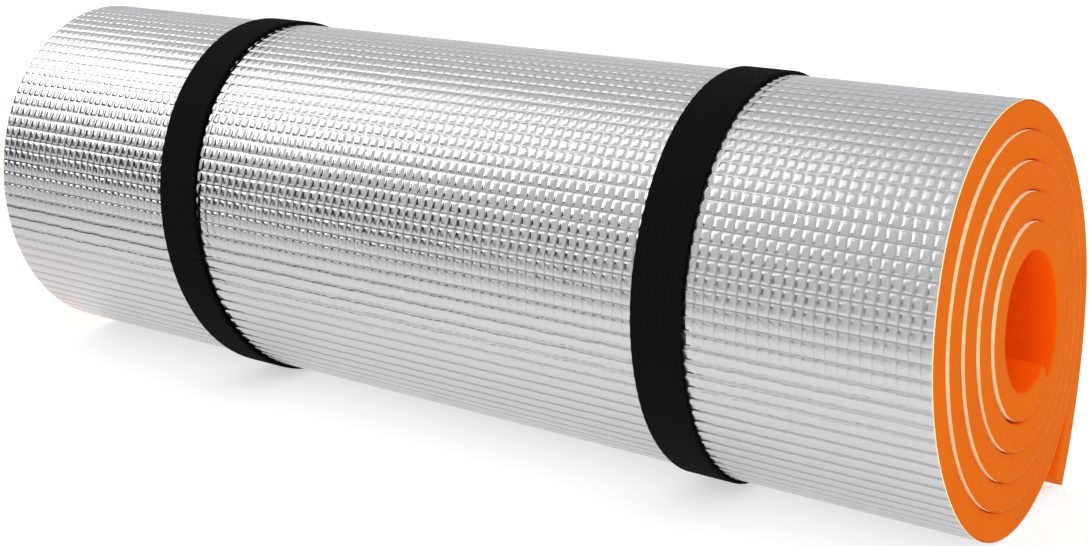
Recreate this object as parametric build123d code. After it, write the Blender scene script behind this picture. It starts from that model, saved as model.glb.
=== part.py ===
from build123d import *
from math import acos, atan2, cos, degrees, pi, radians, sin
import os

# A foam sleeping mat, rolled up foil side out and held by two elastic bands.
# The roll's axis is X, Z is up, and the roll stands on its bands at Z = 0.

# Mat, in millimetres
MAT_LENGTH = 1800.0
MAT_WIDTH = 500.0
FOAM_THICKNESS = 10.0
FOIL_THICKNESS = 0.3
TURN_GAP = 0.9

# Roll: the foam winds outwards in half turns from its inner end, clockwise seen from +X.
# Its loose outer end, the tail, goes a little past the last half turn.
HALF_TURNS = 10
INNER_END_ANGLE = -49.0
TAIL_TURN = 7.5

# Elastic bands, each a strip whose ends lap over each other and are sewn together
BAND_WIDTH = 22.0
BAND_THICKNESS = 1.5
BAND_CLEARANCE = 0.3
LEFT_BAND_X = -120.0
RIGHT_BAND_X = 138.0
TAIL_CORNER_RADIUS = 5.0

# Lapped ends, on the back of the roll above its middle
LAP_LENGTH = 24.0
LAP_ANGLE = 25.0
LAP_ROW_SPACING = 14.0
STITCH_ROWS = 2
STITCHES_PER_ROW = 7
STITCH_LENGTH = 3.2
STITCH_WIDTH = 0.9
STITCH_HEIGHT = 0.5
STITCH_PITCH = 2.7
STITCH_SLANT = 20.0

# Worked out from the sizes above
PITCH = FOAM_THICKNESS + FOIL_THICKNESS + TURN_GAP
STEP = PITCH / 2
ARC_STEPS = pi * HALF_TURNS * (HALF_TURNS - 1) / 2 + radians(TAIL_TURN) * (HALF_TURNS - 1)
WINDING = pi * HALF_TURNS + radians(TAIL_TURN)
FIRST_RADIUS = (MAT_LENGTH - ARC_STEPS * STEP) / WINDING - FOAM_THICKNESS / 2
SKIN = FOAM_THICKNESS + FOIL_THICKNESS
BAND_RADIUS = FIRST_RADIUS + (HALF_TURNS - 1) * STEP + SKIN + BAND_CLEARANCE


def direction(angle):
    """Unit vector in the roll's section, at an angle from the local X axis."""
    return Vector(cos(radians(angle)), sin(radians(angle)))


# The half turns have two centres, half a step to each side of the roll's axis
EVEN_CENTRE = direction(INNER_END_ANGLE) * (-STEP / 2)
ODD_CENTRE = direction(INNER_END_ANGLE) * (STEP / 2)


def half_turn(index, offset):
    """One half turn of the line that lies an offset outside the foam's inner face."""
    centre = ODD_CENTRE if index % 2 else EVEN_CENTRE
    radius = FIRST_RADIUS + index * STEP + offset
    turn = 180 + (TAIL_TURN if index == HALF_TURNS - 1 else 0)
    return CenterArc(centre, radius, INNER_END_ANGLE - 180 * index, -turn)


def wound_layer(inner_offset, outer_offset):
    """The solid between two offsets from the foam's inner face, over the mat's width."""
    inner = [half_turn(index, inner_offset) for index in range(HALF_TURNS)]
    outer = [half_turn(index, outer_offset) for index in range(HALF_TURNS)]
    cut_ends = [Line(inner[0] @ 0, outer[0] @ 0), Line(inner[-1] @ 1, outer[-1] @ 1)]
    section = make_face(inner + outer + cut_ends)
    return extrude(Plane.YZ * section, MAT_WIDTH / 2, both=True)


def band_inside():
    """Face inside a band: the last turn, with a straight run from the tail's end to the turn below."""
    below_radius = BAND_RADIUS - STEP
    outer_half = half_turn(HALF_TURNS - 1, SKIN + BAND_CLEARANCE)
    tail = outer_half @ 1
    reach = tail - EVEN_CENTRE
    touch_angle = degrees(atan2(reach.Y, reach.X) - acos(below_radius / reach.length))
    below = CenterArc(EVEN_CENTRE, below_radius, touch_angle, INNER_END_ANGLE - 180 - touch_angle)
    face = make_face([outer_half, Line(tail, below @ 0), below])
    return fillet(face.vertices().sort_by_distance(tail)[0], TAIL_CORNER_RADIUS)


def lap_window():
    """Rectangle in the roll's section that covers the lap, with room to each side of the strip."""
    middle = ODD_CENTRE + direction(LAP_ANGLE) * BAND_RADIUS
    return Pos(middle) * Rotation(0, 0, LAP_ANGLE) * Rectangle(6 * BAND_THICKNESS, LAP_LENGTH)


def elastic_band(x):
    """The strip round the roll, two layers thick where its ends lap."""
    inside = band_inside()
    one_layer = offset(inside, BAND_THICKNESS, kind=Kind.ARC)
    two_layers = offset(inside, 2 * BAND_THICKNESS, kind=Kind.ARC)
    section = one_layer + (two_layers & lap_window()) - inside
    return Pos(X=x) * extrude(Plane.YZ * section, BAND_WIDTH / 2, both=True)


def lap_place(along):
    """Plane on top of the lap, at a distance along the strip from the lap's middle."""
    radius = BAND_RADIUS + 2 * BAND_THICKNESS
    outward = direction(LAP_ANGLE + degrees(along / radius))
    point = ODD_CENTRE + outward * radius
    return Plane(origin=(0, point.X, point.Y), x_dir=(1, 0, 0), z_dir=(0, outward.X, outward.Y))


def stitching(x):
    """Rows of slanted stitches that lie on the lapped ends of a band."""
    on_base = (Align.CENTER, Align.CENTER, Align.MIN)
    stitches = []
    for row in range(STITCH_ROWS):
        place = lap_place((row - (STITCH_ROWS - 1) / 2) * LAP_ROW_SPACING)
        for index in range(STITCHES_PER_ROW):
            across = (index - (STITCHES_PER_ROW - 1) / 2) * STITCH_PITCH
            slant = STITCH_SLANT if index % 2 else -STITCH_SLANT
            stitch = Box(STITCH_WIDTH, STITCH_LENGTH, STITCH_HEIGHT, align=on_base)
            stitches.append(place * Pos(X=x + across) * Rotation(0, 0, slant) * stitch)
    return Compound(stitches)


parts = {
    "foam_sheet": wound_layer(0, FOAM_THICKNESS),
    "foil_face": wound_layer(FOAM_THICKNESS, SKIN),
    "elastic_band_left": elastic_band(LEFT_BAND_X),
    "elastic_band_right": elastic_band(RIGHT_BAND_X),
    "band_stitching_left": stitching(LEFT_BAND_X),
    "band_stitching_right": stitching(RIGHT_BAND_X),
}

# The origin is under the middle of the whole roll, on the surface it stands on
whole = Compound(list(parts.values())).bounding_box()
to_origin = Pos(0, -whole.center().Y, -whole.min.Z)

os.makedirs("parts", exist_ok=True)
for name, shape in parts.items():
    export_step(to_origin * shape, f"parts/{name}.step")

print("core radius", round(FIRST_RADIUS - STEP / 2, 2))
print("size", whole.size)
print("moved by", to_origin.position)
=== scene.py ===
import bpy
import bmesh
import math
from mathutils import Matrix, Vector, noise


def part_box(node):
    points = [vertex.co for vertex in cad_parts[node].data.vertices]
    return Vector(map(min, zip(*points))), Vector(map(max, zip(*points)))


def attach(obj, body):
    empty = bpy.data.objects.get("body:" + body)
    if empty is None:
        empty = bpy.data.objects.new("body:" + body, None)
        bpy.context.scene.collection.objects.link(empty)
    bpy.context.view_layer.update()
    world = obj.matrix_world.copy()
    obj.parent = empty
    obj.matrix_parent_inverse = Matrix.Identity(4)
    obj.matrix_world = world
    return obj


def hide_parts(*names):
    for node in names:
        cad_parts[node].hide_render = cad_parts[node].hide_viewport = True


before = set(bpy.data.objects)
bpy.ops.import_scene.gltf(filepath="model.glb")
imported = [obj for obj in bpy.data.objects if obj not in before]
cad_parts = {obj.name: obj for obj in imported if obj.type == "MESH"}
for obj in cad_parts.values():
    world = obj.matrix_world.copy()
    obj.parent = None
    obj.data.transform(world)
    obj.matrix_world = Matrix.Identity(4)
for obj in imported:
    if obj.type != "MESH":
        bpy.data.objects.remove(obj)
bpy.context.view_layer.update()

MM = 0.001

# ------------------------------------------------------------------ the mat and its roll, from the frame
# The foam winds outwards in half turns, clockwise seen from +X. Its half turns have two centres,
# a quarter of the pitch to each side of the roll's axis, along the line to the foam's inner end.
foam_low, foam_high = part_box("foam_sheet")
film_low, film_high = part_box("foil_face")
MAT_WIDTH = foam_high.x - foam_low.x
FOAM = 10 * MM
FILM = 0.3 * MM
PITCH = 11.2 * MM
STEP = PITCH / 2
HALF_TURNS = 10
INNER_END = math.radians(-49)
TAIL_TURN = math.radians(7.5)
WINDING = HALF_TURNS * math.pi + TAIL_TURN
SKIN = FOAM + FILM

AXIS_Y = (film_low.y + film_high.y - STEP) / 2
AXIS_Z = (film_low.z + film_high.z - STEP) / 2
SPREAD_Y = math.cos(INNER_END) * PITCH / 4
SPREAD_Z = math.sin(INNER_END) * PITCH / 4
FIRST_RADIUS = (film_high.z - film_low.z - STEP) / 2 - SPREAD_Z - (HALF_TURNS - 2) * STEP - SKIN
OUTER_RADIUS = FIRST_RADIUS + (HALF_TURNS - 1) * STEP + SKIN

# How the roll differs from a perfect one
NEAR_TILT = (-0.030, -0.073)        # lean of the near end's plane, along Y and Z
FAR_TILT = (-0.140, -0.050)
CORE_SHIFT = (6.2 * MM, -1.1 * MM)  # the core sits a little off the middle
TELESCOPE = 0.9 * MM                # how far each turn stands out past the next one outside it
SWELL = 0.45 * MM                   # how far the foam fills the gap under each turn
CORE_SPRING = 1.3 * MM              # how far the inner end has sprung into the core
EDGE_WAVE = 0.4 * MM                # unevenness of the mat's cut sides
EDGE_WAVES = 1.3                    # waves of a cut side to each radian wound
EDGE_WAVE_ROW = 3.0                 # line of the noise that a cut side follows, one for each side
CORE_SPRING_TURN = (0.3, 1.8)       # angles wound between which the inner end comes back to the spiral
TAIL_LIFT_TURN = math.radians(51.5)
TAIL_CURVE_RADIUS = 136.7 * MM
TAIL_FAR_SHARE = 0.7                # lift of the loose end's far corner, as a share of the near one's

# The film's embossed cells
CELLS_ACROSS = 110
CELL_WIDTH = MAT_WIDTH / CELLS_ACROSS
CELL_LENGTH = 5.6 * MM
CELL_ROWS = 113
GROOVE_SHARE = 0.12                 # a groove's half width, as a share of a cell's length
GROOVE_DEPTH = 0.18 * MM
GROOVE_REACH = 0.75                 # share of that depth which a groove has on average
GROOVE_UNEVENNESS = 0.1
PILLOW_HEIGHT = 0.08 * MM
PILLOW_UNEVENNESS = 0.5
PRESSED_BELOW = AXIS_Z - 14 * MM    # low on the roll the pads run together across the mat
PLUMP_ABOVE = AXIS_Z + 6 * MM
PRESSED_WALL = 0.2                  # what is left there of the walls between pads
CELL_NOISE = (0.7, 5)               # the noise's step from cell to cell, and its layer
PLAIN_ROWS = 205                    # lines of points along the plain film inside the roll
BACK_GAP = 0.02 * MM                # between the film's back and the foam

# Steps between the fine columns of points which coarse lines have too: shorter near the cut sides
END_COLUMNS = 50
END_COLUMN_STEP = 5
MIDDLE_COLUMN_STEP = 20

# The foam's cut edges and its rings of points
FOAM_ROUNDING = 0.5 * MM
FOAM_OUTER_EASING = 0.1 * MM
FOAM_END_INSET = 0.6                # share of the rounding by which the two end rings are smaller
FOAM_DEPTH_STEPS = 4
FOAM_RINGS = 360
SMOOTHING_ANGLE = math.radians(50)

# Elastic bands
BAND_THICKNESS = 1.5 * MM
RIB_DEPTH = 0.14 * MM
BAND_SEED = {"left": 7, "right": 11}
BAND_TILT = {"left": (-0.110, -0.126), "right": (-0.069, -0.030)}
LAP_LENGTH = 24 * MM
LAP_ANGLE = math.radians(25)        # place of the lap round the back of the roll
BAND_RIBS = 16
BAND_CLEARANCE = 0.1 * MM
BAND_EDGE = 0.25 * MM               # how far the rounded edges stand in at the strip's foot
BAND_EDGE_TOP = 0.4                 # share of that by which they stand in at the top
BAND_EDGE_HEIGHTS = (0.35, 0.75)    # of the thickness, at an edge's widest line and its top line
BAND_FOOT_STEPS = 4
SCALLOP = 0.28 * MM                 # the near edge bulges into each groove that it crosses
FAR_SCALLOP = -0.3
SCALLOP_POWER = 6                   # keeps the bulges close to the edges
WANDER = 0.5 * MM
WANDERS_PER_METRE = 18
SEWN_END = (0.65, 1.2 * MM)         # the cut ends' share of the thickness, and the length of their slope
LAP_CLIMB = (14 * MM, 1 * MM)       # where the strip climbs over its own start, before the lap
LAP_CLIMB_HEIGHT = 1.02 * BAND_THICKNESS
RIM_POINTS_PER_TURN = 400
RIM_POINTS = 460
BAND_SPACING = 1.4 * MM             # between rings of points along the strip
BAND_NORMAL_REACH = 3               # rings to each side that a direction is taken over
YARN_SPACING = 0.65 * MM
PICK_SPACING = 0.7 * MM
PLY_SPACING = 0.5 * MM

# Stitches through the lap: two rows of slanted threads
STITCH_ROW_SPACING = 14 * MM
STITCHES_PER_ROW = 7
STITCH_SIZE = (0.9 * MM, 3.2 * MM, 0.7 * MM)
STITCH_PITCH = 2.7 * MM
STITCH_SLANT = math.radians(20)
STITCH_CUTS = 3
STITCH_END = 0.45                   # share of its length, from the middle, where an end begins
STITCH_END_SIZE = 0.6
STITCH_END_DROP = 0.4               # of the thread's height
STITCH_LIFT = 0.15

# Heights of the finest relief, in the materials
FOAM_CELL_RELIEF = 0.05 * MM
FOAM_LUMP_RELIEF = 0.2 * MM
PAD_RELIEF = 0.3 * MM
CRINKLE_RELIEF = 0.06 * MM
WEAVE_RELIEF = 0.12 * MM
FUZZ_RELIEF = 0.1 * MM
PLY_RELIEF = 0.1 * MM

# Colours: each pair is what a mottle, a weave or a twist goes between; the elastic's pair also carries
# painted shading of its ribs
FOAM_SKIN = ((0.97, 0.115, 0.0008, 1), (0.92, 0.098, 0.0006, 1))
FOAM_CUT = ((0.73, 0.146, 0.003, 1), (0.68, 0.126, 0.002, 1))
FILM_BARE = (0.56, 0.562, 0.567, 1)
# Painted shade drawn into the film's creases
FILM_CREASE_SHADE = (0.15, 0.15, 0.155, 1)
FILM_BACKING = (0.99, 0.87, 0.48, 1)
FILM_RIM = (0.62, 0.115, 0.002, 1)
ELASTIC_BLACK = ((0.0008, 0.0008, 0.0009, 1), (0.0085, 0.0085, 0.009, 1))
THREAD_BLACK = ((0.010, 0.010, 0.011, 1), (0.035, 0.035, 0.037, 1))
# The floor's painted grey shade in front of the far end, then its pale colour; its painted glow goes the
# same way
FLOOR_PAINT = ((0.55, 0.55, 0.55, 1), (0.62, 0.62, 0.62, 1))
FLOOR_GLOW = ((0.42, 0.42, 0.42, 1), (1.0, 1.0, 1.0, 1))
STUDIO_WALLS = ((0.03, 0.03, 0.033, 1), (0.84, 0.84, 0.85, 1))

# The stage, in metres, with the camera's place counted from the roll's axis
FLOOR_SIZE = 14
CAMERA_PLACE = (0.4631, -0.6072, 0.1723)
CAMERA_FORWARD = (-0.5606, 0.7918, -0.2424)
CAMERA_RIGHT = (0.8131, 0.5818, 0.0200)
CAMERA_LENS = 56.5                  # millimetres, on a sensor 36 wide
CAMERA_SENSOR = 36


def smooth(low, high, value):
    """0 below low, 1 above high, and an even rise between."""
    share = min(max((value - low) / (high - low), 0), 1)
    return share * share * (3 - 2 * share)


def band_span(side):
    """The stretch of X that a band covers."""
    low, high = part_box("elastic_band_" + side)
    return low.x, high.x


LEFT_BAND = band_span("left")
RIGHT_BAND = band_span("right")
BAND_WIDTH = RIGHT_BAND[1] - RIGHT_BAND[0]


def tail_lift(x):
    """How far the loose end has sprung away from the roll at x: 0 under the bands, 1 at the near end."""
    near = smooth(RIGHT_BAND[1], MAT_WIDTH / 2, x)
    far = smooth(-LEFT_BAND[0], MAT_WIDTH / 2, -x)
    return near + TAIL_FAR_SHARE * far


def wound_point(turned, offset, x=0.0):
    """The y and z of a point wound by an angle, an offset outside the foam's inner face."""
    lift_from = WINDING - TAIL_LIFT_TURN
    wound = min(turned, lift_from)
    half = min(int(wound / math.pi), HALF_TURNS - 1)
    side = 1 if half % 2 else -1
    radius = FIRST_RADIUS + half * STEP
    angle = INNER_END - wound
    y = AXIS_Y + side * SPREAD_Y
    z = AXIS_Z + side * SPREAD_Z
    out_y, out_z = math.cos(angle), math.sin(angle)
    if turned <= lift_from:
        return y + out_y * (radius + offset), z + out_z * (radius + offset)
    lift = tail_lift(x)
    curve = (1 - lift) / (radius + FOAM / 2) + lift / TAIL_CURVE_RADIUS
    bend = (turned - lift_from) * (radius + FOAM / 2) * curve
    along_y, along_z = math.sin(angle), -math.cos(angle)
    back = radius + FOAM / 2
    ahead = math.sin(bend) / curve
    inward = (1 - math.cos(bend)) / curve
    face_y = out_y * math.cos(bend) + along_y * math.sin(bend)
    face_z = out_z * math.cos(bend) + along_z * math.sin(bend)
    rest = offset - FOAM / 2
    return (
        y + out_y * (back - inward) + along_y * ahead + face_y * rest,
        z + out_z * (back - inward) + along_z * ahead + face_z * rest,
    )


def mat_point(x, turned, offset):
    """A point of the rolled mat, with the roll's unevenness."""
    sprung = CORE_SPRING * (1 - smooth(*CORE_SPRING_TURN, turned))
    y, z = wound_point(turned, offset - sprung, x)
    from_axis = math.hypot(y - AXIS_Y, z - AXIS_Z)
    share = min(max((OUTER_RADIUS - from_axis) / (OUTER_RADIUS - FIRST_RADIUS), 0), 1)
    near = x / MAT_WIDTH + 0.5
    lean_y = FAR_TILT[0] + (NEAR_TILT[0] - FAR_TILT[0]) * near
    lean_z = FAR_TILT[1] + (NEAR_TILT[1] - FAR_TILT[1]) * near
    turns_inside = (WINDING - turned) / (2 * math.pi)
    at_side = Vector((turned * EDGE_WAVES, math.copysign(EDGE_WAVE_ROW, x), 0))
    wave = noise.noise(at_side) * abs(x) * 2 / MAT_WIDTH
    across = x + lean_y * (y - AXIS_Y) + lean_z * (z - AXIS_Z)
    across += TELESCOPE * turns_inside + EDGE_WAVE * wave
    return Vector((across, y + CORE_SHIFT[0] * share, z + CORE_SHIFT[1] * share))


def film_turn(length):
    """The angle wound when the film has used up a length, counted from its inner end."""
    for half in range(HALF_TURNS):
        radius = FIRST_RADIUS + half * STEP + SKIN
        if length <= radius * math.pi or half == HALF_TURNS - 1:
            return half * math.pi + length / radius
        length -= radius * math.pi


FILM_LENGTH = sum(math.pi * (FIRST_RADIUS + half * STEP + SKIN) for half in range(HALF_TURNS))
FILM_LENGTH += TAIL_TURN * OUTER_RADIUS


# ------------------------------------------------------------------ materials
class Socket:
    """An output of a material's nodes that can be used in sums."""

    def __init__(self, paint, link):
        self.paint = paint
        self.link = link

    def maths(self, operation, *values):
        return self.paint.node("Math", {"operation": operation}, dict(enumerate(values)))

    def __add__(self, other):
        return self.maths("ADD", self, other)

    def __sub__(self, other):
        return self.maths("SUBTRACT", self, other)

    def __rsub__(self, other):
        return self.maths("SUBTRACT", other, self)

    def __mul__(self, other):
        return self.maths("MULTIPLY", self, other)

    def __abs__(self):
        return self.maths("ABSOLUTE", self)

    def sine(self):
        return self.maths("SINE", self)

    def fraction(self):
        return self.maths("FRACT", self)

    def most(self, other):
        """The larger of two values."""
        return self.maths("MAXIMUM", self, other)

    __radd__ = __add__
    __rmul__ = __mul__


class Nodes:
    """A node tree, and short ways to add to it."""

    def __init__(self, tree):
        self.nodes = tree.nodes
        self.links = tree.links

    def node(self, kind, settings=None, inputs=None, output=0):
        """A node of a kind, with its settings, then its inputs' values or links; gives one output."""
        node = self.nodes.new("ShaderNode" + kind)
        for setting, value in (settings or {}).items():
            setattr(node, setting, value)
        for socket, value in (inputs or {}).items():
            if isinstance(value, Socket):
                self.links.new(value.link, node.inputs[socket])
            else:
                node.inputs[socket].default_value = value
        return Socket(self, node.outputs[output])

    def place(self, output="Object"):
        return self.node("TexCoord", output=output)

    def parts(self, vector):
        """The three numbers of a vector."""
        split = self.node("SeparateXYZ", inputs={0: vector}).link.node
        return [Socket(self, output) for output in split.outputs]

    def grain(self, vector, scale, detail=2.0):
        """Noise from 0 to 1, with so many lumps to the unit."""
        return self.node("TexNoise", inputs={"Vector": vector, "Scale": scale, "Detail": detail})

    def rise(self, value, low, high):
        """0 below low and 1 above high, with a soft step between."""
        ends = {"Value": value, "From Min": low, "From Max": high}
        return self.node("MapRange", {"interpolation_type": "SMOOTHSTEP"}, ends)

    def blend(self, share, first, second):
        """A colour between two colours."""
        return self.node("Mix", {"data_type": "RGBA"}, {0: share, 6: first, 7: second}, output=2)

    def raised(self, height, distance, normal=None):
        """A surface normal for a height from 0 to 1, which stands that many metres high."""
        inputs = {"Height": height, "Distance": distance}
        if normal:
            inputs["Normal"] = normal
        return self.node("Bump", inputs=inputs)


class Paint(Nodes):
    """One material, with the same values all over for the sockets that are given."""

    def __init__(self, name, **shader):
        self.material = bpy.data.materials.new(name)
        self.material.use_nodes = True
        super().__init__(self.material.node_tree)
        self.shader = self.nodes["Principled BSDF"]
        for socket, value in shader.items():
            self.shader.inputs[socket.replace("_", " ")].default_value = value

    def wear(self, **sockets):
        """The finished material, with these sockets varying over its surface."""
        for socket, value in sockets.items():
            self.links.new(value.link, self.shader.inputs[socket.replace("_", " ")])
        return self.material


def foam_material():
    """Closed-cell foam: a mottled deep orange skin with fine cells, paler where it was cut."""
    paint = Paint("orange closed-cell foam", Roughness=0.85, Specular_IOR_Level=0.05)
    across, along, _ = paint.parts(paint.place("UV"))
    place = paint.place()
    mottle = paint.grain(place, scale=45, detail=3)
    cells = paint.node("TexVoronoi", {"feature": "F1"}, {"Vector": place, "Scale": 1500})
    lumps = paint.grain(place, scale=420)
    side_cut = paint.rise(abs(across), 0.9985, 0.9995)
    end_cut = paint.rise(along, 0.99975, 0.99995)
    cut = side_cut.most(end_cut)
    uneven = paint.rise(mottle * 0.8 + cells * 0.3, 0.2, 0.9)
    skin = paint.blend(uneven, *FOAM_SKIN)
    fresh = paint.blend(uneven, *FOAM_CUT)
    normal = paint.raised(cells, FOAM_CELL_RELIEF)
    normal = paint.raised(lumps, FOAM_LUMP_RELIEF, normal)
    return paint.wear(Base_Color=paint.blend(cut, skin, fresh), Normal=normal)


def film_material():
    """Aluminised film: soft raised pads, thin creases darkened with painted shade, a fine crinkle and a
    cream cut edge.
    """
    paint = Paint("embossed aluminised film", Specular_IOR_Level=0.1)
    across, along, _ = paint.parts(paint.place("UV"))
    place = paint.place()
    wobble = paint.grain(place, scale=150) - 0.5
    in_width = abs((across + wobble * 0.5).fraction() - 0.5) * 2
    in_length = abs(along.fraction() - 0.5) * 2
    pad_length = abs((along + wobble * 0.25).fraction() - 0.5) * 2
    _, _, height = paint.parts(place)
    plump = paint.rise(height, PRESSED_BELOW, PLUMP_ABOVE)
    walls = paint.rise(in_width, 0.25, 0.95) * (plump * (1 - PRESSED_WALL) + PRESSED_WALL)
    pad = (1 - walls) * (1 - paint.rise(pad_length, 0.5, 0.95))
    # Painted shade: the grooves are darkened in the colour, lengthwise all over and crosswise only high
    # on the roll, where the pads are plump
    lengthwise_shade = paint.rise(in_length, 0.87, 0.98)
    crease_shade = lengthwise_shade.most(paint.rise(in_width, 0.8, 0.96) * plump * 0.55)
    crinkle = paint.grain(place, scale=700, detail=3)
    patches = paint.grain(place, scale=22)
    crushed = paint.rise(patches, 0.45, 0.7)

    # The cut edge shows the film's cream backing: a broad strip on inner turns, a fine one outside
    outermost = paint.rise(along, -2, 2)
    edge_from = CELLS_ACROSS / 2 - 0.5 + outermost * 0.4
    edge = paint.rise(abs(across) - edge_from, -0.02, 0.02)
    facing, _, _ = paint.parts(paint.node("NewGeometry", output="True Normal"))
    rim = paint.rise(abs(facing), 0.6, 0.8)
    # Bare film, darkened up to halfway towards the painted crease shade in its grooves
    bare_with_crease_shade = paint.blend(crease_shade * 0.5, FILM_BARE, FILM_CREASE_SHADE)
    backing = paint.blend(rim, FILM_BACKING, FILM_RIM)
    colour = paint.blend(edge, bare_with_crease_shade, backing)
    handled = paint.rise(across, 10, CELLS_ACROSS / 2)
    roughness = 0.16 + crushed * 0.07 + handled * 0.13 + edge * 0.4
    normal = paint.raised(pad, PAD_RELIEF)
    normal = paint.raised(crinkle * (0.25 + crushed), CRINKLE_RELIEF, normal)
    return paint.wear(Base_Color=colour, Metallic=1 - edge, Roughness=roughness, Normal=normal)


def elastic_material():
    """Woven black elastic: ribs along the strip, with painted shading on them, crossed by fine picks."""
    paint = Paint("black woven elastic", Roughness=0.9, Specular_IOR_Level=0.05)
    across, along, _ = paint.parts(paint.place("UV"))
    picks = (along * (2 * math.pi / PICK_SPACING)).sine()
    yarns = (across * (2 * math.pi / YARN_SPACING)).sine()
    # Painted shading: the colour is lighter on each rib's top and darker in the dips between ribs
    ribs = (across * (2 * math.pi * BAND_RIBS / BAND_WIDTH) - math.pi / 2).sine() * 0.5 + 0.5
    weave = picks * yarns * 0.5 + 0.5
    fuzz = paint.grain(paint.place(), scale=1800)
    share = weave * 0.3 + fuzz * 0.3 + ribs * 0.4
    normal = paint.raised(weave, WEAVE_RELIEF)
    normal = paint.raised(fuzz, FUZZ_RELIEF, normal)
    return paint.wear(Base_Color=paint.blend(share, *ELASTIC_BLACK), Normal=normal)


def thread_material():
    """Black sewing thread, with the twist of its plies."""
    paint = Paint("black twisted thread", Roughness=0.6, Specular_IOR_Level=0.25)
    x, y, z = paint.parts(paint.place())
    plies = ((x + y + z) * (2 * math.pi / PLY_SPACING)).sine() * 0.5 + 0.5
    colour = paint.blend(plies, *THREAD_BLACK)
    return paint.wear(Base_Color=colour, Normal=paint.raised(plies, PLY_RELIEF))


# ------------------------------------------------------------------ meshes
def make_piece(name, points, faces, material, uvs=None):
    """A smooth-shaded object from points and faces, with a UV pair for each point if given."""
    mesh = bpy.data.meshes.new(name)
    mesh.from_pydata(points, [], faces)
    if uvs:
        layer = mesh.uv_layers.new(name="flat")
        for loop in mesh.loops:
            layer.data[loop.index].uv = uvs[loop.vertex_index]
    build = bmesh.new()
    build.from_mesh(mesh)
    bmesh.ops.recalc_face_normals(build, faces=build.faces)
    build.to_mesh(mesh)
    build.free()
    mesh.materials.append(material)
    piece = bpy.data.objects.new(name, mesh)
    bpy.context.scene.collection.objects.link(piece)
    bpy.context.view_layer.objects.active = piece
    piece.select_set(True)
    bpy.ops.object.shade_smooth_by_angle(angle=SMOOTHING_ANGLE)
    piece.select_set(False)
    return piece


def evenly(first, last, count):
    """Values from first to last, in so many equal steps."""
    return [first + (last - first) * index / count for index in range(count + 1)]


def strip_faces(first, second):
    """Faces between two lines of as many points."""
    return list(zip(first, first[1:], second[1:], second))


def tube_faces(rings):
    """Faces of a tube through closed rings of points."""
    faces = []
    for first, second in zip(rings, rings[1:]):
        faces += strip_faces(first + first[:1], second + second[:1])
    return faces


def coarse_faces(coarse, fine, columns):
    """Faces between a coarse line of points and a fine one, each with all the fine points it spans."""
    faces = []
    for index, (start, end) in enumerate(zip(columns, columns[1:])):
        faces.append((coarse[index], coarse[index + 1], *reversed(fine[start:end + 1])))
    return faces


# ------------------------------------------------------------------ the mat
def film_columns():
    """How many steps the film's fine lines have, and the columns that its coarse lines share."""
    fine = 2 * CELLS_ACROSS
    near = range(0, END_COLUMNS, END_COLUMN_STEP)
    middle = range(END_COLUMNS, fine - END_COLUMNS, MIDDLE_COLUMN_STEP)
    far = range(fine - END_COLUMNS, fine + 1, END_COLUMN_STEP)
    return fine, [*near, *middle, *far]


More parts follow.
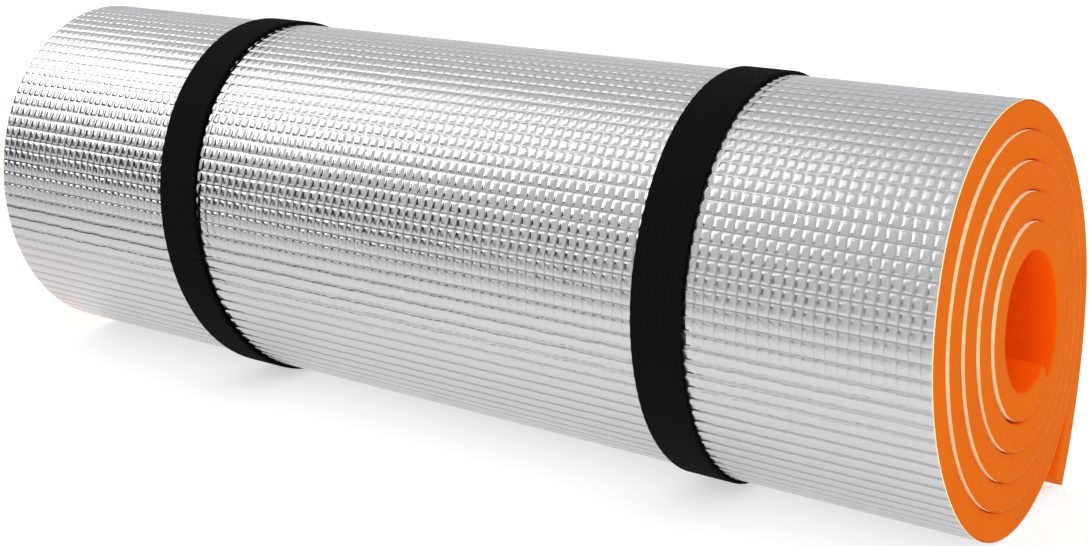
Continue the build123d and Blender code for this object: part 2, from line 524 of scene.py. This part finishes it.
def make_film(material):
    """The aluminised film: embossed over its outermost turn, and plain inside the roll."""
    fine_count, plain_columns = film_columns()
    fine_columns = range(fine_count + 1)
    columns = evenly(-MAT_WIDTH / 2, MAT_WIDTH / 2, fine_count)
    emboss_from = FILM_LENGTH - CELL_ROWS * CELL_LENGTH
    lines_in_cell = (0, GROOVE_SHARE, 1 - GROOVE_SHARE)
    points, uvs = [], []

    def row(numbers, length, height):
        """A line of points across the film, at a height that may differ from column to column."""
        turned = film_turn(length)
        start = len(points)
        for number in numbers:
            x = columns[number]
            points.append(mat_point(x, turned, FOAM + height(number)))
            uvs.append((x / CELL_WIDTH, (length - emboss_from) / CELL_LENGTH))
        return list(range(start, len(points)))

    def back(number):
        return BACK_GAP

    def face(number):
        return FILM

    def embossed(cell_row, in_cell, length):
        """Heights across one line of the embossing."""
        high = mat_point(0, film_turn(length), SKIN).z
        plump = PRESSED_WALL + (1 - PRESSED_WALL) * smooth(PRESSED_BELOW, PLUMP_ABOVE, high)

        def height(number):
            step, layer = CELL_NOISE
            even = noise.noise(Vector((number // 2 * step, cell_row * step, layer)))
            if in_cell == 0:
                return FILM - GROOVE_DEPTH * (GROOVE_REACH + GROOVE_UNEVENNESS * even)
            between_pads = number % 2 == 0
            raised = 1 - plump if between_pads else 1
            return FILM + PILLOW_HEIGHT * (1 + PILLOW_UNEVENNESS * even) * raised
        return height

    inside_rows = []
    outside_rows = []
    for index in range(PLAIN_ROWS):
        length = emboss_from * index / PLAIN_ROWS
        inside_rows.append(row(plain_columns, length, back))
        outside_rows.append(row(plain_columns, length, face))
    for cell_row in range(CELL_ROWS + 1):
        for in_cell in lines_in_cell:
            length = emboss_from + (cell_row + in_cell) * CELL_LENGTH
            if cell_row < CELL_ROWS or in_cell == 0:
                outside_rows.append(row(fine_columns, length, embossed(cell_row, in_cell, length)))
        inside_rows.append(row(plain_columns, emboss_from + cell_row * CELL_LENGTH, back))

    faces = []
    for above, below in zip(outside_rows, outside_rows[1:]):
        if len(above) == len(below):
            faces += strip_faces(above, below)
        else:
            faces += coarse_faces(above, below, plain_columns)
    for above, below in zip(inside_rows, inside_rows[1:]):
        faces += strip_faces(below, above)

    # Rims along the two cut sides, then at the two ends of the film
    for side in (0, -1):
        outer = [line[side] for line in outside_rows]
        inner = [line[side] for line in inside_rows]
        faces += strip_faces(outer, inner)[:PLAIN_ROWS]
        fine_outer = outer[PLAIN_ROWS:]
        fine_inner = inner[PLAIN_ROWS:]
        for index in range(CELL_ROWS):
            first = index * len(lines_in_cell)
            run = fine_outer[first:first + len(lines_in_cell) + 1]
            faces.append((*run, fine_inner[index + 1], fine_inner[index]))
    faces += strip_faces(outside_rows[0], inside_rows[0])
    faces += coarse_faces(inside_rows[-1], outside_rows[-1], plain_columns)
    return make_piece("foil_film", points, faces, material, uvs)


def make_foam(material):
    """The foam sheet, with softly rounded cut edges."""
    half = MAT_WIDTH / 2
    fine_count, plain_columns = film_columns()
    columns = evenly(FOAM_ROUNDING - half, half - FOAM_ROUNDING, fine_count)
    across = [columns[number] for number in plain_columns]
    depth = evenly(FOAM_ROUNDING - SWELL, FOAM - FOAM_OUTER_EASING, FOAM_DEPTH_STEPS)

    def section(inset):
        """Points round the sheet's section, as pairs of x and offset."""
        low, high = inset - SWELL, FOAM - inset
        side = half - inset / 2
        inner = [(x, low) for x in across]
        near = [(side, max(low, min(high, offset))) for offset in depth]
        outer = [(x, high) for x in reversed(across)]
        far = [(-side, offset) for _, offset in reversed(near)]
        return inner + near + outer + far

    steps = [0, FOAM_ROUNDING / FIRST_RADIUS]
    steps += [WINDING * index / FOAM_RINGS for index in range(1, FOAM_RINGS)]
    steps += [WINDING - FOAM_ROUNDING / OUTER_RADIUS, WINDING]
    points, uvs, rings = [], [], []
    for turned in steps:
        inset = FOAM_ROUNDING * FOAM_END_INSET if turned in (0, WINDING) else 0
        start = len(points)
        for x, offset in section(inset):
            points.append(mat_point(x, turned, offset))
            uvs.append((x / half, turned / WINDING))
        rings.append(list(range(start, len(points))))
    faces = tube_faces(rings)
    wide, deep = len(across), len(depth)
    for ring in (rings[0], rings[-1]):
        inner = ring[:wide]
        near = ring[wide:wide + deep]
        outer = ring[wide + deep:2 * wide + deep][::-1]
        far = ring[2 * wide + deep:][::-1]
        faces += strip_faces(inner, outer)
        faces.append((inner[-1], *near, outer[-1]))
        faces.append((inner[0], *far, outer[0]))
    return make_piece("foam_mat", points, faces, material, uvs)


# ------------------------------------------------------------------ the elastic bands
def hull(points):
    """The taut line round a set of (y, z) points, anticlockwise."""
    points = sorted(points)

    def half_of(run):
        line = []
        for y, z in run:
            while len(line) > 1:
                (y0, z0), (y1, z1) = line[-2:]
                if (y1 - y0) * (z - z0) - (z1 - z0) * (y - y0) > 0:
                    break
                line.pop()
            line.append((y, z))
        return line[:-1]

    return half_of(points) + half_of(points[::-1])


def resampled(loop, spacing, start, length):
    """Evenly spaced points along a closed loop, over a length counted from a start."""
    closed = loop + loop[:1]
    steps = [math.dist(a, b) for a, b in zip(closed, closed[1:])]
    whole = sum(steps)
    count = round(length / spacing)
    found = []
    for index in range(count + 1):
        left = (start + length * index / count) % whole
        for (a, b), step in zip(zip(closed, closed[1:]), steps):
            if left <= step:
                share = left / step
                found.append((a[0] + (b[0] - a[0]) * share, a[1] + (b[1] - a[1]) * share))
                break
            left -= step
    return found


def band_path():
    """The bands' inner line round the roll, lapped over its own start.

    Each step has its y and z, its direction outwards, its height and the length used so far.
    """
    rim = []
    for index in range(RIM_POINTS):
        turned = WINDING - 2 * math.pi * index / RIM_POINTS_PER_TURN
        rim.append(wound_point(turned, SKIN + PILLOW_HEIGHT))
    taut = hull(rim)

    def off_lap(point):
        angle = math.atan2(point[1] - AXIS_Z, point[0] - AXIS_Y)
        return 1 - math.cos(angle - LAP_ANGLE)

    lap_start = taut.index(min(taut, key=off_lap))
    taut = taut[lap_start:] + taut[:lap_start]
    whole = sum(math.dist(a, b) for a, b in zip(taut, taut[1:] + taut[:1]))
    length = whole + LAP_LENGTH
    line = resampled(taut, BAND_SPACING, whole - LAP_LENGTH / 2, length)
    climb_from, climb_to = LAP_CLIMB
    path = []
    for index, (y, z) in enumerate(line):
        before = line[max(index - BAND_NORMAL_REACH, 0)]
        after = line[min(index + BAND_NORMAL_REACH, len(line) - 1)]
        run = math.dist(before, after)
        normal = ((after[1] - before[1]) / run, -(after[0] - before[0]) / run)
        used = length * index / (len(line) - 1)
        climb = LAP_CLIMB_HEIGHT * smooth(whole - climb_from, whole - climb_to, used)
        path.append((y, z, normal, BAND_CLEARANCE + climb, used))
    return path


BAND_PATH = band_path()


def tilted(side, x, y, z):
    """A point of a band, moved along X as the band leans."""
    tilt_y, tilt_z = BAND_TILT[side]
    return Vector((x + tilt_y * (y - AXIS_Y) + tilt_z * (z - AXIS_Z), y, z))


def make_band(side, material):
    """A woven strip round the roll, ribbed along its length, its edges uneven over the embossing."""
    low, high = band_span(side)
    width = high - low
    middle = (low + high) / 2
    seed = BAND_SEED[side]
    foot = BAND_EDGE / width
    top = foot * BAND_EDGE_TOP
    low_side, high_side = (BAND_THICKNESS * share for share in BAND_EDGE_HEIGHTS)
    profile = [(foot, 0), (0, low_side), (top, high_side)]
    for index in range(1, 2 * BAND_RIBS):
        dip = 0 if index % 2 else RIB_DEPTH
        profile.append((index / (2 * BAND_RIBS), BAND_THICKNESS - dip))
    profile += [(1 - top, high_side), (1, low_side), (1 - foot, 0)]
    profile += [(1 - index / BAND_FOOT_STEPS, 0) for index in range(1, BAND_FOOT_STEPS)]
    points, uvs, rings = [], [], []
    length = BAND_PATH[-1][-1]
    end_share, end_slope = SEWN_END
    for y, z, normal, lift, used in BAND_PATH:
        scallop = SCALLOP * math.sin(2 * math.pi * used / CELL_LENGTH)
        wander = WANDER * noise.noise(Vector((used * WANDERS_PER_METRE, seed, 0)))
        pressed = end_share + (1 - end_share) * smooth(0, end_slope, min(used, length - used))
        start = len(points)
        for share, height in profile:
            out = lift + height * (pressed if height > low_side else 1)
            at_edge = abs(2 * share - 1) ** SCALLOP_POWER * (1 if share > 0.5 else FAR_SCALLOP)
            x = middle + (share - 0.5) * width + wander + scallop * at_edge
            points.append(tilted(side, x, y + normal[0] * out, z + normal[1] * out))
            uvs.append((share * width, used))
        rings.append(list(range(start, len(points))))
    faces = tube_faces(rings) + [tuple(rings[0]), tuple(rings[-1])]
    return make_piece("elastic_strip_" + side, points, faces, material, uvs)


def make_stitch():
    """One thread stitch, lying along Y at the origin, plump in the middle with its ends pulled down."""
    bpy.ops.mesh.primitive_cube_add(size=1)
    stitch = bpy.context.object
    stitch.scale = STITCH_SIZE
    bpy.ops.object.transform_apply(location=False, rotation=False, scale=True)
    bpy.ops.object.mode_set(mode="EDIT")
    bpy.ops.mesh.subdivide(number_cuts=STITCH_CUTS)
    bpy.ops.mesh.select_all(action="DESELECT")
    bpy.ops.object.mode_set(mode="OBJECT")
    for vertex in stitch.data.vertices:
        vertex.select = abs(vertex.co.y) > STITCH_SIZE[1] * STITCH_END
    bpy.ops.object.mode_set(mode="EDIT")
    bpy.ops.transform.resize(value=(STITCH_END_SIZE, 1, STITCH_END_SIZE))
    bpy.ops.transform.translate(value=(0, 0, -STITCH_SIZE[2] * STITCH_END_DROP))
    bpy.ops.object.mode_set(mode="OBJECT")
    rounding = stitch.modifiers.new("rounding", "SUBSURF")
    rounding.levels = rounding.render_levels = 1
    bpy.ops.object.modifier_apply(modifier=rounding.name)
    bpy.ops.object.shade_smooth()
    stitch.select_set(False)
    return stitch


def make_stitching(side, stitch, material):
    """Copies of the stitch in two slanted rows on top of the band's lap."""
    low, high = band_span(side)
    lap_middle = BAND_PATH[-1][-1] - LAP_LENGTH / 2
    copies = []
    for row in (-0.5, 0.5):
        wanted = lap_middle + row * STITCH_ROW_SPACING
        y, z, normal, lift, _ = min(BAND_PATH, key=lambda step: abs(step[-1] - wanted))
        out = lift + BAND_THICKNESS + STITCH_SIZE[2] * STITCH_LIFT
        up = Vector((0, *normal))
        across_way = Vector((1, 0, 0))
        lying = Matrix((across_way, up.cross(across_way), up)).transposed()
        for index in range(STITCHES_PER_ROW):
            across = (index - (STITCHES_PER_ROW - 1) / 2) * STITCH_PITCH
            slant = STITCH_SLANT if index % 2 else -STITCH_SLANT
            turned = lying @ Matrix.Rotation(slant, 3, "Z")
            x = (low + high) / 2 + across
            place = tilted(side, x, y + normal[0] * out, z + normal[1] * out)
            copy = bpy.data.objects.new("stitch", stitch.data.copy())
            bpy.context.scene.collection.objects.link(copy)
            copy.data.transform(Matrix.Translation(place) @ turned.to_4x4())
            copies.append(copy)
    for copy in copies:
        copy.select_set(True)
    bpy.context.view_layer.objects.active = copies[0]
    bpy.ops.object.join()
    bpy.ops.object.select_all(action="DESELECT")
    stitching = copies[0]
    stitching.name = "lap_stitching_" + side
    stitching.data.materials.clear()
    stitching.data.materials.append(material)
    return stitching


# ------------------------------------------------------------------ stage
def make_floor():
    """A white floor with a soft painted glow, whose paint and glow fall away to a painted grey shade in
    front of the roll's far end.
    """
    bpy.ops.mesh.primitive_plane_add(size=FLOOR_SIZE, location=(0, 0, 0))
    floor = bpy.context.object
    floor.name = "studio_floor"
    paint = Paint("pale glowing floor", Roughness=0.9, Specular_IOR_Level=0.1, Emission_Strength=0.56)
    across, back, _ = paint.parts(paint.place())
    # Painted shade: paint and glow turn grey in front of the roll's far end, away from both rises
    beside = paint.rise(across + back, -0.9, -0.1)
    near = beside.most(paint.rise(back, 0.1, 0.5))
    colour = paint.blend(near, *FLOOR_PAINT)
    glow = paint.blend(near, *FLOOR_GLOW)
    floor.data.materials.append(paint.wear(Base_Color=colour, Emission_Color=glow))


def make_light(name, place, aim, size, power):
    """A soft rectangular light at a place, turned to face its aim."""
    light = bpy.data.lights.new(name, "AREA")
    light.shape = "RECTANGLE"
    light.size, light.size_y = size
    light.energy = power
    lamp = bpy.data.objects.new(name, light)
    bpy.context.scene.collection.objects.link(lamp)
    lamp.location = place
    lamp.rotation_euler = (Vector(aim) - Vector(place)).to_track_quat("-Z", "Y").to_euler()


def make_camera():
    """The camera stands off the near end, a little above the roll, and looks across to the far end."""
    data = bpy.data.cameras.new("camera")
    data.lens = CAMERA_LENS
    data.sensor_width = CAMERA_SENSOR
    camera = bpy.data.objects.new("camera", data)
    bpy.context.scene.collection.objects.link(camera)
    bpy.context.scene.camera = camera
    place = Vector(CAMERA_PLACE) + Vector((0, AXIS_Y, AXIS_Z))
    forward = Vector(CAMERA_FORWARD).normalized()
    right = Vector(CAMERA_RIGHT).normalized()
    aim = Matrix((right, right.cross(forward), -forward)).transposed()
    camera.matrix_world = Matrix.Translation(place) @ aim.to_4x4()


def make_world():
    """Soft light from all round, except low down beyond the roll's far end."""
    world = bpy.data.worlds.new("studio")
    bpy.context.scene.world = world
    world.use_nodes = True
    studio = Nodes(world.node_tree)
    across, back, up = studio.parts(studio.place("Generated"))
    lit = studio.rise(up + across * 1.1 + back * 0.15, -0.86, -0.5)
    colour = studio.blend(lit, *STUDIO_WALLS)
    studio.links.new(colour.link, studio.nodes["Background"].inputs["Color"])


bpy.ops.object.select_all(action="DESELECT")
bpy.context.scene.view_settings.view_transform = "Standard"
make_camera()
make_world()
make_floor()
make_light("overhead softbox", (-0.85, -0.25, 1.45), (0, 0, 0.1), (1.1, 1.0), 3.1)
make_light("left softbox", (-1.5, -0.35, 0.95), (-0.1, 0, 0.1), (1.5, 0.7), 6.2)
make_light("end softbox", (1.15, -0.95, 0.7), (0.25, 0, 0.08), (0.6, 0.6), 4.5)

foam = make_foam(foam_material())
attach(foam, "roll")
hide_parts("foam_sheet")

film = make_film(film_material())
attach(film, "roll")
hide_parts("foil_face")

elastic = elastic_material()
thread = thread_material()
stitch = make_stitch()
for side in BAND_SEED:
    strip = make_band(side, elastic)
    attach(strip, "band_" + side)
    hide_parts("elastic_band_" + side)
    stitching = make_stitching(side, stitch, thread)
    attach(stitching, "band_" + side)
    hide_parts("band_stitching_" + side)
bpy.data.objects.remove(stitch)
